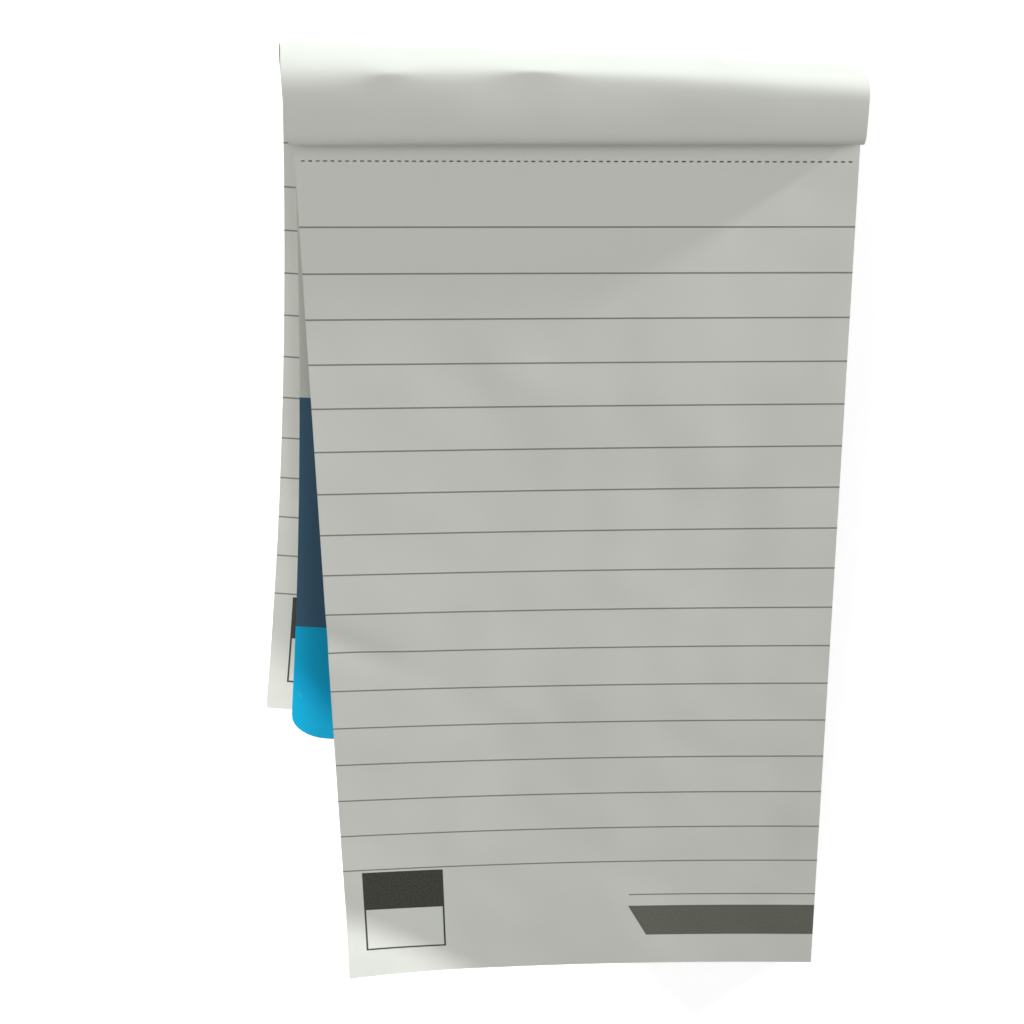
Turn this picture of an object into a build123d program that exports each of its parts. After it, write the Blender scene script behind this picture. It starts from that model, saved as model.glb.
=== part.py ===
from build123d import *
import os
from math import asin, atan, cos, degrees, hypot, sin

# A head-stapled notepad lying on its back, with its cover and first leaves turned over the head.
# Sizes are in millimetres. X runs across the leaves, Y towards the head and Z up from the table.

# Leaves and covers
leaf_width = 101.6
stub_length = 12.0  # head edge to tear line
tear_length = 173.5  # tear line to foot edge
leaf_thickness = 0.1
leaves_left = 60
leaves_turned = 5
card_thickness = 0.3
cover_corner = 6.5  # rounding of the foot corners of both covers

# Tear line, a row of slits through every leaf that is left
slit_pitch = 1.35
slit_width = 0.3
slit_share = 0.52  # part of the pitch that is cut
tear_slant = 2.1  # how much nearer the head the tear line is at the left edge than at the right

# Top leaves, loose below the tear line: their left side lifts and their foot corner curls up there
loose_leaves = 3
left_lift = 5.7  # rise of the left edge at the foot
lift_margin = 6.0  # strip along the right edge that stays down
curl_side = 14.0  # start of the corner's bend, up the left edge
curl_foot = 27.5  # start of the corner's bend, along the foot edge
curl_radius = 60.0
curl_steps = 6  # flat strips that make up the curled corner, each way
lift_steps = 8  # flat strips that make up the rest of the lift

# Roll of the turned sheets over the head, wider at the left than at the right
head_lift = 17.5  # the springy roll holds the head this far off the table
fold_inset_left = 4.9  # head edge to the line where the turned sheets leave the pad
fold_inset_right = 7.2
fold_radius_left = 3.0
fold_radius_right = 2.6
roll_reach_left = 9.6  # how far the roll stands past the head edge
roll_reach_right = 3.2
roll_start_left = 0.2  # head edge to the line where the top of the roll starts to turn down
roll_start_right = 3.2
roll_gap_left = 0.9  # air between the turned leaves and the cover inside the roll
roll_gap_right = 0.5
turned_drift = 6.0  # sideways drift of the turned leaves through the roll, later at the right than at the left
cover_drift = 4.0
sheet_air = 0.05  # between sheets that lie on each other
fold_steps = 20  # flat strips that make up the fold
head_steps = 36  # flat strips that make up the rounded head end

# Staples
wire_diameter = 0.6
staple_width = 12.0
staple_inset_share = 0.72  # head edge to the middle of the wire, as a part of the smaller fold inset
staple_spread_share = 0.55  # distance between the staples as a part of the leaf width
clinch_share = 0.4  # length of each clinched end as a part of the staple width
hole_clearance = 0.05

overrun = 1.0  # how far cutting tools reach past what they cut

# Sizes that follow from the ones above
LEFT, RIGHT = 0, 1
leaf_length = stub_length + tear_length
block_height = leaves_left * leaf_thickness
turned_thickness = leaves_turned * leaf_thickness
block_top = card_thickness + block_height
loose_thickness = loose_leaves * leaf_thickness
loose_length = tear_length - tear_slant
turned_stub = block_top + sheet_air
cover_stub = turned_stub + turned_thickness + sheet_air
stack_top = cover_stub + card_thickness
tilt = asin(head_lift / leaf_length)
foot_y = -leaf_length * cos(tilt) / 2
pad_head = foot_y + leaf_length * cos(tilt)
pad_place = Location((0, foot_y, 0), (degrees(tilt), 0, 0))
fold_insets = (fold_inset_left, fold_inset_right)
fold_radii = (fold_radius_left, fold_radius_right)
roll_reaches = (roll_reach_left, roll_reach_right)
roll_starts = (roll_start_left, roll_start_right)
cover_insets = (turned_thickness + roll_gap_left, turned_thickness + roll_gap_right)
staple_inset = min(fold_insets) * staple_inset_share
edges_x = (-leaf_width / 2, leaf_width / 2)
on_foot_edge = (Align.CENTER, Align.MIN, Align.MIN)


def pad_point(along, height):
    """Y and Z of a point of the tilted pad, measured from its foot edge and its underside."""
    y = foot_y + along * cos(tilt) - height * sin(tilt)
    z = along * sin(tilt) + height * cos(tilt)
    return y, z


def plate(width, length, thickness, start, height):
    """A flat layer of the pad, in the pad's own frame."""
    return Pos(0, start, height) * Box(width, length, thickness, align=on_foot_edge)


def staple_centres():
    """X of the middle of each staple."""
    half = leaf_width * staple_spread_share / 2
    return (-half, half)


def leg_holes(bottom, top):
    """Cutters for the staple legs between two heights of the pad."""
    radius = wire_diameter / 2 + hole_clearance
    drill = Cylinder(radius, top - bottom + 2 * overrun, align=(Align.CENTER, Align.CENTER, Align.MIN))
    spots = [x + leg for x in staple_centres() for leg in (-staple_width / 2, staple_width / 2)]
    return [Pos(x, leaf_length - staple_inset, bottom - overrun) * drill for x in spots]


def staple(centre_x):
    """Crown on top of the stack, two legs through it and two ends clinched under it."""
    half = staple_width / 2
    clinch = staple_width * clinch_share
    low = -wire_diameter / 2
    high = stack_top + wire_diameter / 2
    along = leaf_length - staple_inset
    bends = [(-half + clinch, low), (-half, low), (-half, high), (half, high), (half, low), (half - clinch, low)]
    path = Polyline([(centre_x + x, along, z) for x, z in bends])
    wire_end = Plane(origin=path @ 0, z_dir=path % 0)
    return sweep(wire_end * Circle(wire_diameter / 2), path=path, transition=Transition.RIGHT)


def lifted(from_left, along):
    """How far the top leaves rise at a place measured from their left edge and their foot edge."""
    free_width = leaf_width - lift_margin
    swell = left_lift * (1 - from_left / free_width) ** 2 * (1 - along / loose_length)
    bend_length = hypot(curl_foot, curl_side)
    past_share = max(0, 1 - from_left / curl_foot - along / curl_side)
    past_bend = past_share * curl_foot * curl_side / bend_length
    return swell + curl_radius * (1 - cos(past_bend / curl_radius))


def leaf_section(along):
    """Section across the leaves: the stack and, over a thin wedge of air, the lifted top leaves."""
    free_width = leaf_width - lift_margin
    curled = [curl_foot * step / curl_steps for step in range(curl_steps)]
    others = [curl_foot + (free_width - curl_foot) * step / lift_steps for step in range(lift_steps + 1)]
    left = -leaf_width / 2
    floor = block_top - loose_thickness
    upper = [(left + x, block_top + lifted(x, along)) for x in curled + others]
    lower = [(x, z - loose_thickness) for x, z in upper]
    base = [(left, floor - sheet_air), (left, card_thickness), (-left, card_thickness), (-left, block_top)]
    return Wire.make_polygon([Vector(x, along, z) for x, z in [*upper, *reversed(base), *reversed(lower)]])


def page_block():
    """All leaves that are left, as one block with its tear line, its lifted side and its curled corner."""
    places = [curl_side * step / curl_steps for step in range(curl_steps + 1)]
    loose = Solid.make_loft([leaf_section(along) for along in [*places, loose_length]], ruled=True)
    stub = plate(leaf_width, leaf_length - loose_length, block_height, loose_length, card_thickness)
    slit_length = slit_pitch * slit_share
    count = int((leaf_width - slit_length) / slit_pitch)
    slit = Box(slit_length, slit_width, block_height + 2 * overrun)
    slant = degrees(atan(tear_slant / leaf_width))
    tear_line = Location((0, tear_length, card_thickness + block_height / 2), (0, 0, -slant))
    stub -= [tear_line * place * slit for place in GridLocations(slit_pitch, slit_pitch, count, 1)]
    stub -= leg_holes(card_thickness, block_top)
    return pad_place * (stub + loose)


def back_cover():
    """Plain card under the leaves."""
    card = plate(leaf_width, leaf_length, card_thickness, 0, 0)
    foot_corners = card.edges().filter_by(Axis.Z).group_by(Axis.Y)[0]
    return pad_place * (fillet(foot_corners, cover_corner) - leg_holes(0, card_thickness))


def roll_path(side, under, inset, rest):
    """One side of a turned sheet, drawn in Y and Z: the tight fold on the pad and the rounded head end."""
    radius = fold_radii[side] - inset
    fold_y, fold_z = pad_point(leaf_length - fold_insets[side], under + radius)
    half_height = (fold_z + radius - rest) / 2
    head_y = pad_head - roll_starts[side]
    depth = roll_starts[side] + roll_reaches[side] - inset
    fold = CenterArc((fold_y, fold_z), radius, 270 + degrees(tilt), -180 - degrees(tilt))
    head = EllipticalCenterArc((head_y, rest + half_height), depth, half_height, 90, arc_size=-180)
    return fold, head


def tail_end(side, under, inset, rest):
    """Y where a turned sheet ends at one side, once the fold and the roll have used up their length."""
    fold, head = roll_path(side, under, inset, rest)
    rolled = fold_insets[side] + fold.length + (head @ 0 - fold @ 1).length + head.length
    return (head @ 1).X - (leaf_length - rolled)


def eased(share):
    """A smooth way from 0 to 1."""
    share = max(0, share)
    return share * share * (3 - 2 * share)


def sheet_section(curves, share, thickness, shifts):
    """Cross-section of a turned sheet at one point of its way through the fold or the roll."""
    places = [x - shift for x, shift in zip(edges_x, shifts)]
    outer = [Vector(x, (curve @ share).X, (curve @ share).Y) for x, curve in zip(places, curves)]
    inward = [Vector(0, (curve % share).Y, -(curve % share).X) for curve in curves]
    inner = [point + way * thickness for point, way in zip(outer, inward)]
    return Wire.make_polygon([outer[LEFT], inner[LEFT], inner[RIGHT], outer[RIGHT]])


def turned_sheet(under, thickness, insets, rest, drift, corner):
    """A sheet that is held at the head, folds back, rolls over the head and lies flat under the pad."""
    paths = [roll_path(side, under, insets[side], rest) for side in (LEFT, RIGHT)]
    folds = [path[0] for path in paths]
    heads = [path[1] for path in paths]
    sections = [sheet_section(folds, step / fold_steps, thickness, (0, 0)) for step in range(fold_steps + 1)]
    for step in range(head_steps + 1):
        share = step / head_steps
        late_share = 2 * share - 1
        sections.append(sheet_section(heads, share, thickness, (drift * eased(share), drift * eased(late_share))))
    rolled = Solid.make_loft(sections, ruled=True)

    fold_line = [(x, leaf_length - inset) for x, inset in zip(edges_x, fold_insets)]
    head_edge = [(x, leaf_length) for x in reversed(edges_x)]
    stub = Pos(0, 0, under) * extrude(make_face(Polyline(*fold_line, *head_edge, close=True)), thickness)
    stub -= leg_holes(under, under + thickness)

    middle = thickness / 2
    ends = [tail_end(side, under + middle, insets[side] + middle, rest + middle) for side in (LEFT, RIGHT)]
    skew = atan((ends[LEFT] - ends[RIGHT]) / leaf_width)
    left_head = Vector(edges_x[LEFT] - drift, (heads[LEFT] @ 1).X)
    right_head = Vector(edges_x[RIGHT] - drift, (heads[RIGHT] @ 1).X)
    left_foot = left_head + Vector(-sin(skew), -cos(skew)) * (left_head.Y - ends[LEFT])
    right_foot = left_foot + Vector(cos(skew), -sin(skew)) * leaf_width
    outline = Polyline(left_head, right_head, right_foot, left_foot, close=True)
    tail = Pos(0, 0, rest) * extrude(make_face(outline), thickness)
    if corner:
        tail = fillet(tail.edges().filter_by(Axis.Z).sort_by(Axis.Y)[:2], corner)
    return pad_place * stub + rolled + tail


def turned_pages():
    """The first leaves, turned over the head together. They are the outside of the roll."""
    return turned_sheet(turned_stub, turned_thickness, (0, 0), 0, turned_drift, 0)


def front_cover():
    """The front cover, turned over the head inside the turned leaves."""
    rest = turned_thickness + sheet_air
    return turned_sheet(cover_stub, card_thickness, cover_insets, rest, cover_drift, cover_corner)


def staples():
    """Both staples."""
    return Compound([pad_place * staple(x) for x in staple_centres()])


os.makedirs("parts", exist_ok=True)
nodes = (page_block, back_cover, turned_pages, front_cover, staples)
for node in nodes:
    export_step(node(), f"parts/{node.__name__}.step")
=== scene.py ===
import math

import bpy
import numpy as np
from mathutils import Matrix, Vector


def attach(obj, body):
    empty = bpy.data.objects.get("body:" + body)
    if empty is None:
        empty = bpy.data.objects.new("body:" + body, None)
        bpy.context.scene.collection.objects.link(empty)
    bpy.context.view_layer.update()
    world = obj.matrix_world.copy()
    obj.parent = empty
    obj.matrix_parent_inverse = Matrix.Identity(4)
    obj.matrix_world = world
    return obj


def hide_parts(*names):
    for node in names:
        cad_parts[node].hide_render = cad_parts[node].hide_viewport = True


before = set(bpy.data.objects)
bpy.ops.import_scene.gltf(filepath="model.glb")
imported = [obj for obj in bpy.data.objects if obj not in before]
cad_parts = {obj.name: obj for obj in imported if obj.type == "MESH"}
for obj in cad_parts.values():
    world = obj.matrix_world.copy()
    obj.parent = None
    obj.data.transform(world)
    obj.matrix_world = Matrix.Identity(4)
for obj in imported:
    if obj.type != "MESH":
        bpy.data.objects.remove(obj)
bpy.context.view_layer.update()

bl_info = {
    "name": "Stapled notepad",
    "version": (1, 0, 0),
    "blender": (4, 5, 0),
    "location": "3D View > Sidebar > Notepad",
    "description": "Leaves, covers, print and stage of a notepad with its first leaves turned back",
    "category": "Object",
}

BODY = "root"
LEFT, RIGHT = 0, 1
SHEET_UV = "sheet"


# Settings


def length(name, description, default):
    """A size in metres."""
    return bpy.props.FloatProperty(
        name=name, description=description, default=default, unit="LENGTH", precision=5
    )


def both_sides(name, description, left, right):
    """A size in metres at the left edge and at the right edge."""
    return bpy.props.FloatVectorProperty(
        name=name, description=description, default=(left, right), size=2, unit="LENGTH", precision=5
    )


def share(name, description, default):
    """A part of something else, from 0 to 1."""
    return bpy.props.FloatProperty(
        name=name, description=description, default=default, min=0.0, max=1.0, subtype="FACTOR"
    )


def number(name, description, default):
    """A whole number of things."""
    return bpy.props.IntProperty(name=name, description=description, default=default, min=1)


def amount(name, description, default):
    """A plain number."""
    return bpy.props.FloatProperty(name=name, description=description, default=default)


def power(name, description, default):
    """The power of a lamp in watts."""
    return bpy.props.FloatProperty(name=name, description=description, default=default, subtype="POWER")


def angle(name, description, default):
    """An angle in radians."""
    return bpy.props.FloatProperty(name=name, description=description, default=default, subtype="ANGLE")


def colour(name, description, default):
    """A linear colour."""
    return bpy.props.FloatVectorProperty(
        name=name, description=description, default=default, size=3, subtype="COLOR", min=0.0, max=1.0
    )


class PadSizes(bpy.types.PropertyGroup):
    """Leaves, covers and how the pad lies."""

    leaf_width: length("Leaf width", "Left edge to right edge of a leaf", 0.1016)
    stub_length: length("Stub length", "Head edge to tear line", 0.0120)
    tear_length: length("Tear length", "Tear line to foot edge", 0.1735)
    leaf_thickness: length("Leaf thickness", "Room that one leaf takes in the stack", 0.0001)
    leaf_air: length("Leaf air", "Part of a leaf's room that is air", 0.00001)
    leaves_left: number("Leaves left", "Leaves that are still on the pad's back", 60)
    leaves_lifted: number("Leaves lifted", "Top leaves that lift at their left side", 8)
    leaves_turned: number("Leaves turned", "Leaves turned over the head", 5)
    leaf_jitter: length("Leaf jitter", "How far a leaf of the stack lies out of line", 0.00012)
    card_thickness: length("Card thickness", "Thickness of both covers", 0.0003)
    corner_wide: length("Corner width", "Rounding of the cover's foot corners, along its foot", 0.0080)
    corner_tall: length("Corner height", "Rounding of the cover's foot corners, up its sides", 0.0052)
    head_lift: length("Head lift", "How far the springy roll holds the head off the table", 0.0175)
    sheet_air: length("Sheet air", "Air between sheets that lie on each other", 0.00005)


class RollSizes(bpy.types.PropertyGroup):
    """The roll of the turned sheets over the head."""

    fold_inset: both_sides("Fold inset", "Head edge to where the sheets leave the pad", 0.0049, 0.0072)
    fold_radius: both_sides("Fold radius", "Outer radius of the tight fold on the pad", 0.0030, 0.0026)
    reach: both_sides("Reach", "How far the roll stands past the head edge", 0.0096, 0.0032)
    start: both_sides("Start", "Head edge to where the roll starts to turn down", 0.0002, 0.0032)
    gap: both_sides("Gap", "Air between the turned leaves and the cover in the roll", 0.0009, 0.0005)
    turned_drift: length("Leaf drift", "Sideways drift of the turned leaves through the roll", 0.0060)
    cover_drift: length("Cover drift", "Sideways drift of the cover through the roll", 0.0040)
    front_lean: angle("Front lean", "Slope of the roll's top where it leaves the fold", 0.29)
    ridge_lean: angle("Ridge lean", "Slope of the roll's top where it turns down", 0.13)
    bend_ends: share("Bend at the ends", "Part of the reach where the top turns down at the ends", 0.25)
    bend_middle: share("Bend in the middle", "Part of the reach where it turns down in the middle", 0.57)
    soft_ends: length("Softness at the ends", "How soft that turn is at the ends", 0.0033)
    soft_middle: length("Softness in the middle", "How soft that turn is in the middle", 0.0023)
    tail_bow: length("Tail bow", "How far the tails of the turned sheets bow to the right", 0.00125)
    tail_kick: length("Tail kick", "How far they end to the left of it", 0.0009)


class TearSizes(bpy.types.PropertyGroup):
    """The tear line."""

    slit_pitch: length("Slit pitch", "Middle of one slit to the next", 0.00135)
    slit_width: length("Slit width", "Width of a slit", 0.00024)
    slit_share: share("Slit share", "Part of the pitch that is cut", 0.52)
    slant: length("Slant", "How much nearer the head the line is at the left than at the right", 0.0021)
    slant_reach: length("Slant reach", "How far below the line the leaf still leans with it", 0.0600)


class CurlSizes(bpy.types.PropertyGroup):
    """The lifted left side and the curled foot corner of the top leaves."""

    side: length("Side", "Start of the corner's bend, up the left edge", 0.0140)
    foot: length("Foot", "Start of the corner's bend, along the foot edge", 0.0275)
    radius: length("Radius", "Radius of the top leaf's bend", 0.0600)
    lift: length("Lift", "Rise of the top leaf's left side at the foot", 0.0057)
    margin: length("Margin", "Strip along the right edge that stays down", 0.0060)
    dent_place: length("Dent place", "Foot edge to the dent in the left edge", 0.0805)
    dent_length: length("Dent length", "How far the dent runs in from the left edge", 0.0150)
    dent_drop: length("Dent drop", "How far it runs towards the foot on its way", 0.0070)
    dent_width: length("Dent width", "Half the width of the dent", 0.0035)
    dent_depth: length("Dent depth", "Depth of the dent at the left edge", 0.0005)


class PrintSizes(bpy.types.PropertyGroup):
    """What is printed on a leaf, measured from its left edge and its foot edge, and on the cover."""

    rule_pitch: length("Rule pitch", "One rule to the next", 0.0254 / 3)
    rule_width: length("Rule width", "Thickness of a rule", 0.00031)
    rule_count: number("Rules", "Rules that run from edge to edge", 17)
    first_rule: length("First rule", "Tear line to the first rule", 0.0117)
    short_rule: length("Short rule", "Left end of the short last rule", 0.0614)
    band_left: length("Band left", "Left end of the dark band, along its top", 0.0612)
    band_top: length("Band top", "Top of the dark band", 0.0150)
    band_height: length("Band height", "Height of the dark band", 0.0076)
    band_slant: length("Band slant", "How far the band's left end leans", 0.0040)
    box_left: length("Box left", "Left side of the box", 0.0040)
    box_width: length("Box width", "Width of the box", 0.0173)
    box_foot: length("Box foot", "Foot of the box", 0.0063)
    box_height: length("Box height", "Height of the outlined cell", 0.0101)
    box_header: length("Box header", "Height of the dark cell on top of it", 0.0093)
    box_line: length("Box line", "Thickness of the box's outline", 0.0004)
    cover_foot: length("Cover foot field", "Cover's foot edge to the top of its bright field", 0.0256)
    cover_middle: length("Cover middle field", "Cover's foot edge to the top of its dark field", 0.0753)


class PadColours(bpy.types.PropertyGroup):
    """Linear colours of paper, ink, card and wire."""

    paper: colour("Paper", "Leaf, both sides", (0.615, 0.625, 0.575))
    rule_ink: colour("Rule ink", "Rules", (0.215, 0.215, 0.190))
    box_ink: colour("Box ink", "Box", (0.037, 0.038, 0.029))
    band_ink: colour("Band ink", "Band", (0.118, 0.121, 0.098))
    card: colour("Card", "Bare card and the cover's pale field", (0.560, 0.575, 0.520))
    dark_field: colour("Dark field", "The cover's dark blue field", (0.040, 0.094, 0.150))
    bright_field: colour("Bright field", "The cover's bright blue field", (0.002, 0.375, 0.640))
    wire: colour("Wire", "Staples", (0.560, 0.560, 0.570))
    table: colour("Table", "Floor", (0.860, 0.860, 0.860))


class StageSetup(bpy.types.PropertyGroup):
    """Camera and light."""

    eye_across: length("Eye across", "Camera, from the pad's middle line", -0.00027)
    eye_along: length("Eye along", "Camera, from the foot edge along the pad", 0.20087)
    eye_height: length("Eye height", "Camera, above the pad's underside", 0.26502)
    aim_across: length("Aim across", "Point looked at, from the pad's middle line", -0.01284)
    aim_along: length("Aim along", "Point looked at, from the foot edge along the pad", 0.10639)
    eye_roll: angle("Eye roll", "Turn of the camera about its axis", -0.01969)
    lens: bpy.props.FloatProperty(
        name="Lens", description="Focal length of the camera", default=49.22, subtype="DISTANCE_CAMERA"
    )
    head_power: power("Head lamp", "Low light from beyond the head", 8.0)
    right_power: power("Right lamp", "Low light from beyond the head and the right", 14.0)
    top_power: power("Top lamp", "Soft light from overhead and the right", 2.5)
    left_power: power("Left lamp", "Soft light from the left", 1.5)
    patch_power: power("Patch lamp", "Patch of light on the foot corner", 2.45)
    side_power: power("Side lamp", "Low light on the turned leaves, from the left", 2.9)
    sky: amount("Sky", "Strength of the even light from all around", 0.22)
    floor_glow: amount("Floor glow", "White that the floor shows to the camera by itself", 0.42)


class NotepadSettings(bpy.types.PropertyGroup):
    """All sizes and colours of the notepad."""

    pad: bpy.props.PointerProperty(type=PadSizes)
    roll: bpy.props.PointerProperty(type=RollSizes)
    tear: bpy.props.PointerProperty(type=TearSizes)
    curl: bpy.props.PointerProperty(type=CurlSizes)
    printed: bpy.props.PointerProperty(type=PrintSizes)
    colours: bpy.props.PointerProperty(type=PadColours)
    stage: bpy.props.PointerProperty(type=StageSetup)


# Places in the tilted pad


class PadFrame:
    """Heights and places of the pad's layers, worked out from its sizes."""

    def __init__(self, pad):
        self.width = pad.leaf_width
        self.length = pad.stub_length + pad.tear_length
        self.tilt = math.asin(pad.head_lift / self.length)
        self.head = self.length * math.cos(self.tilt) / 2
        self.foot = -self.head
        self.block_top = pad.card_thickness + pad.leaves_left * pad.leaf_thickness
        self.turned_stub = self.block_top + pad.sheet_air
        self.cover_stub = self.turned_stub + pad.leaves_turned * pad.leaf_thickness + pad.sheet_air

    def yz(self, along, height):
        """Y and Z of places given along the pad from its foot edge and above its underside."""
        y = self.foot + along * math.cos(self.tilt) - height * math.sin(self.tilt)
        z = along * math.sin(self.tilt) + height * math.cos(self.tilt)
        return y, z

    def place(self, across, along, height):
        """Points given across the pad from its middle line, along it and above its underside."""
        y, z = self.yz(along, height)
        return np.stack(np.broadcast_arrays(across, y, z), axis=-1)


# Meshes


def grid_object(name, points, uv):
    """One surface of quads through rows of points, with their places on the flat sheet as UV."""
    rows, columns = points.shape[:2]
    corner = np.arange(rows * columns).reshape(rows, columns)
    quads = np.stack(
        [corner[:-1, :-1], corner[:-1, 1:], corner[1:, 1:], corner[1:, :-1]], axis=-1
    ).reshape(-1, 4)
    mesh = bpy.data.meshes.new(name)
    mesh.from_pydata(points.reshape(-1, 3).tolist(), [], quads.tolist())
    layer = mesh.uv_layers.new(name=SHEET_UV)
    layer.data.foreach_set("uv", uv.reshape(-1, 2)[quads.reshape(-1)].astype(np.float32).reshape(-1))
    piece = bpy.data.objects.new(name, mesh)
    bpy.context.scene.collection.objects.link(piece)
    return piece


def give_materials(piece, *materials):
    """Material slots of a piece, in order."""
    piece.data.materials.clear()
    for material in materials:
        piece.data.materials.append(material)


def thicken(piece, thickness):
    """Gives a sheet its thickness below the surface: slot 0 above, 1 below and 2 on the cut edges."""
    solid = piece.modifiers.new("Thickness", "SOLIDIFY")
    solid.thickness = thickness
    solid.offset = -1.0
    solid.use_even_offset = True
    solid.material_offset = 1
    solid.material_offset_rim = 2


def add_nodes(piece, tree, **values):
    """A Geometry Nodes modifier with its inputs set by their names."""
    modifier = piece.modifiers.new(tree.name, "NODES")
    modifier.node_group = tree
    for item in tree.interface.items_tree:
        if item.item_type == "SOCKET" and item.in_out == "INPUT" and item.name in values:
            modifier[item.identifier] = values[item.name]


SHARP_EDGE = math.radians(40.0)


def make_plain(piece):
    """Turns a piece with modifiers into a plain mesh that shades smooth across soft bends."""
    bpy.context.view_layer.update()
    depsgraph = bpy.context.evaluated_depsgraph_get()
    mesh = bpy.data.meshes.new_from_object(piece.evaluated_get(depsgraph))
    piece.modifiers.clear()
    old = piece.data
    piece.data = mesh
    bpy.data.meshes.remove(old)
    mesh.name = piece.name
    mesh.polygons.foreach_set("use_smooth", [True] * len(mesh.polygons))
    mesh.set_sharp_from_angle(angle=SHARP_EDGE)


def hand_over(piece, node):
    """Lets a finished piece ride on the pad and stand for a CAD node."""
    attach(piece, BODY)
    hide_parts(node)


# Node helpers


def feed(tree, socket, value):
    """Links an input to another socket, or sets it."""
    if isinstance(value, bpy.types.NodeSocket):
        tree.links.new(value, socket)
    else:
        socket.default_value = value


def input_named(node, name, kind):
    """The input of a name that has several, one for each kind of value."""
    return next(socket for socket in node.inputs if socket.name == name and socket.type == kind)


def add(tree, kind, values=None, **settings):
    """A node with its settings and its inputs."""
    node = tree.nodes.new(kind)
    for key, value in settings.items():
        setattr(node, key, value)
    for key, value in (values or {}).items():
        feed(tree, node.inputs[key], value)
    return node


def math_node(tree, operation, *values):
    """Output of a Math node."""
    return add(tree, "ShaderNodeMath", dict(enumerate(values)), operation=operation).outputs[0]


def integer_node(tree, operation, *values):
    """Output of an Integer Math node."""
    return add(tree, "FunctionNodeIntegerMath", dict(enumerate(values)), operation=operation).outputs[0]


def same_integer(tree, first, second):
    """Output that tells whether two whole numbers are the same."""
    node = add(tree, "FunctionNodeCompare", data_type="INT", operation="EQUAL")
    for name, value in (("A", first), ("B", second)):
        feed(tree, input_named(node, name, "INT"), value)
    return node.outputs[0]


def logic_node(tree, operation, first, second):
    """Output of a Boolean Math node."""
    return add(tree, "FunctionNodeBooleanMath", {0: first, 1: second}, operation=operation).outputs[0]


def geometry_tree(name, **inputs):
    """An empty Geometry Nodes tree with named inputs, and its input and output nodes."""
    tree = bpy.data.node_groups.new(name, "GeometryNodeTree")
    tree.interface.new_socket("Geometry", in_out="INPUT", socket_type="NodeSocketGeometry")
    for key, kind in inputs.items():
        tree.interface.new_socket(key, in_out="INPUT", socket_type=kind)
    tree.interface.new_socket("Geometry", in_out="OUTPUT", socket_type="NodeSocketGeometry")
    return tree, tree.nodes.new("NodeGroupInput"), tree.nodes.new("NodeGroupOutput")


def end_geometry(tree, geometry, material, output):
    """Ends a tree with Realize Instances and Set Material."""
    real = add(tree, "GeometryNodeRealizeInstances", {0: geometry})
    painted = add(tree, "GeometryNodeSetMaterial", {"Geometry": real.outputs[0], "Material": material})
    tree.links.new(painted.outputs[0], output.inputs[0])


def stack_tree():
    """Lays copies of one leaf on each other, each a little out of line, and tilts the stack."""
    tree, given, made = geometry_tree(
        "Leaf stack",
        Leaves="NodeSocketInt",
        Pitch="NodeSocketVector",
        Jitter="NodeSocketVector",
        Seed="NodeSocketInt",
        Place="NodeSocketVector",
        Turn="NodeSocketVector",
        Material="NodeSocketMaterial",
    )
    spots = add(
        tree,
        "GeometryNodeMeshLine",
        {"Count": given.outputs["Leaves"], "Offset": given.outputs["Pitch"]},
        mode="OFFSET",
    )
    leaves = add(
        tree,
        "GeometryNodeInstanceOnPoints",
        {"Points": spots.outputs[0], "Instance": given.outputs["Geometry"]},
    )
    back = {0: given.outputs["Jitter"], "Scale": -1.0}
    least = add(tree, "ShaderNodeVectorMath", back, operation="SCALE")
    aside = add(
        tree,
        "FunctionNodeRandomValue",
        {0: least.outputs[0], 1: given.outputs["Jitter"], "Seed": given.outputs["Seed"]},
        data_type="FLOAT_VECTOR",
    )
    moved = add(
        tree,
        "GeometryNodeTranslateInstances",
        {"Instances": leaves.outputs[0], "Translation": aside.outputs[0]},
    )
    real = add(tree, "GeometryNodeRealizeInstances", {0: moved.outputs[0]})
    tilted = add(
        tree,
        "GeometryNodeTransform",
        {
            "Geometry": real.outputs[0],
            "Translation": given.outputs["Place"],
            "Rotation": given.outputs["Turn"],
        },
    )
    end_geometry(tree, tilted.outputs[0], given.outputs["Material"], made)
    return tree


def tear_tree():
    """Cuts the slits of the tear line out of one row of a leaf's faces."""
    tree, given, made = geometry_tree(
        "Tear line",
        Columns="NodeSocketInt",
        Row="NodeSocketInt",
        Step="NodeSocketInt",
        Material="NodeSocketMaterial",
    )
    index = tree.nodes.new("GeometryNodeInputIndex").outputs[0]
    row = integer_node(tree, "DIVIDE_FLOOR", index, given.outputs["Columns"])
    column = integer_node(tree, "MODULO", index, given.outputs["Columns"])
    last = integer_node(tree, "SUBTRACT", given.outputs["Columns"], 1)
    in_row = same_integer(tree, row, given.outputs["Row"])
    turn = integer_node(tree, "MODULO", column, given.outputs["Step"])
    first_turn = integer_node(tree, "MODULO", 1, given.outputs["Step"])
    is_slit = same_integer(tree, turn, first_turn)
    at_left = same_integer(tree, column, 0)
    at_right = same_integer(tree, column, last)
    off_edges = logic_node(tree, "NOR", at_left, at_right)
    chosen = logic_node(tree, "AND", logic_node(tree, "AND", in_row, is_slit), off_edges)
    cut = add(
        tree,
        "GeometryNodeDeleteGeometry",
        {"Geometry": given.outputs["Geometry"], "Selection": chosen},
        domain="FACE",
    )
    end_geometry(tree, cut.outputs[0], given.outputs["Material"], made)
    return tree


# Materials


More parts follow.
